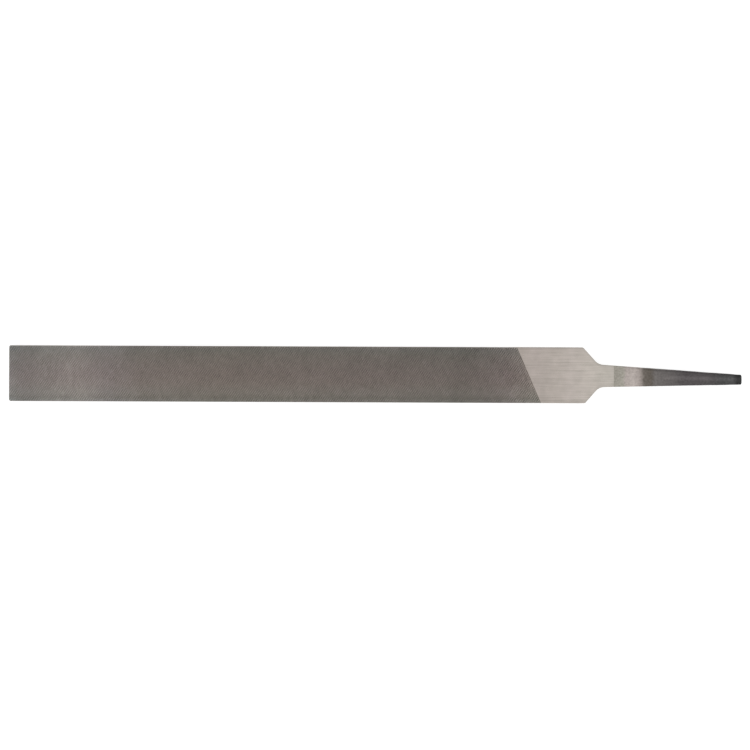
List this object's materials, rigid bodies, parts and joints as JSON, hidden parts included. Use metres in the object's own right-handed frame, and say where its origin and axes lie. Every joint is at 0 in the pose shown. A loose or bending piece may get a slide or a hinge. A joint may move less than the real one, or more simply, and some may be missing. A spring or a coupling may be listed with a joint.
{
  "type": "flat file",
  "caption": "Flat hand file of hardened steel: parallel blade with double-cut teeth on both faces, one safe edge, smooth heel and a bare tapered tang for a handle.",
  "frame": {"origin": "under the middle of the overall length, on the blade's centre line, in the plane of the lower cut face", "axes": "+X along the file from the point to the tang, +Y across the blade towards the cut edge, +Z out of the upper cut face"},
  "size_m": [0.3146, 0.024, 0.0055],
  "materials": {
    "file_steel": "hardened tool steel: fine cut teeth on the blade, satin ground heel, dark oxide on the tang"
  },
  "bodies": {
    "root": {"file": "file_steel"}
  },
  "joints": []
}
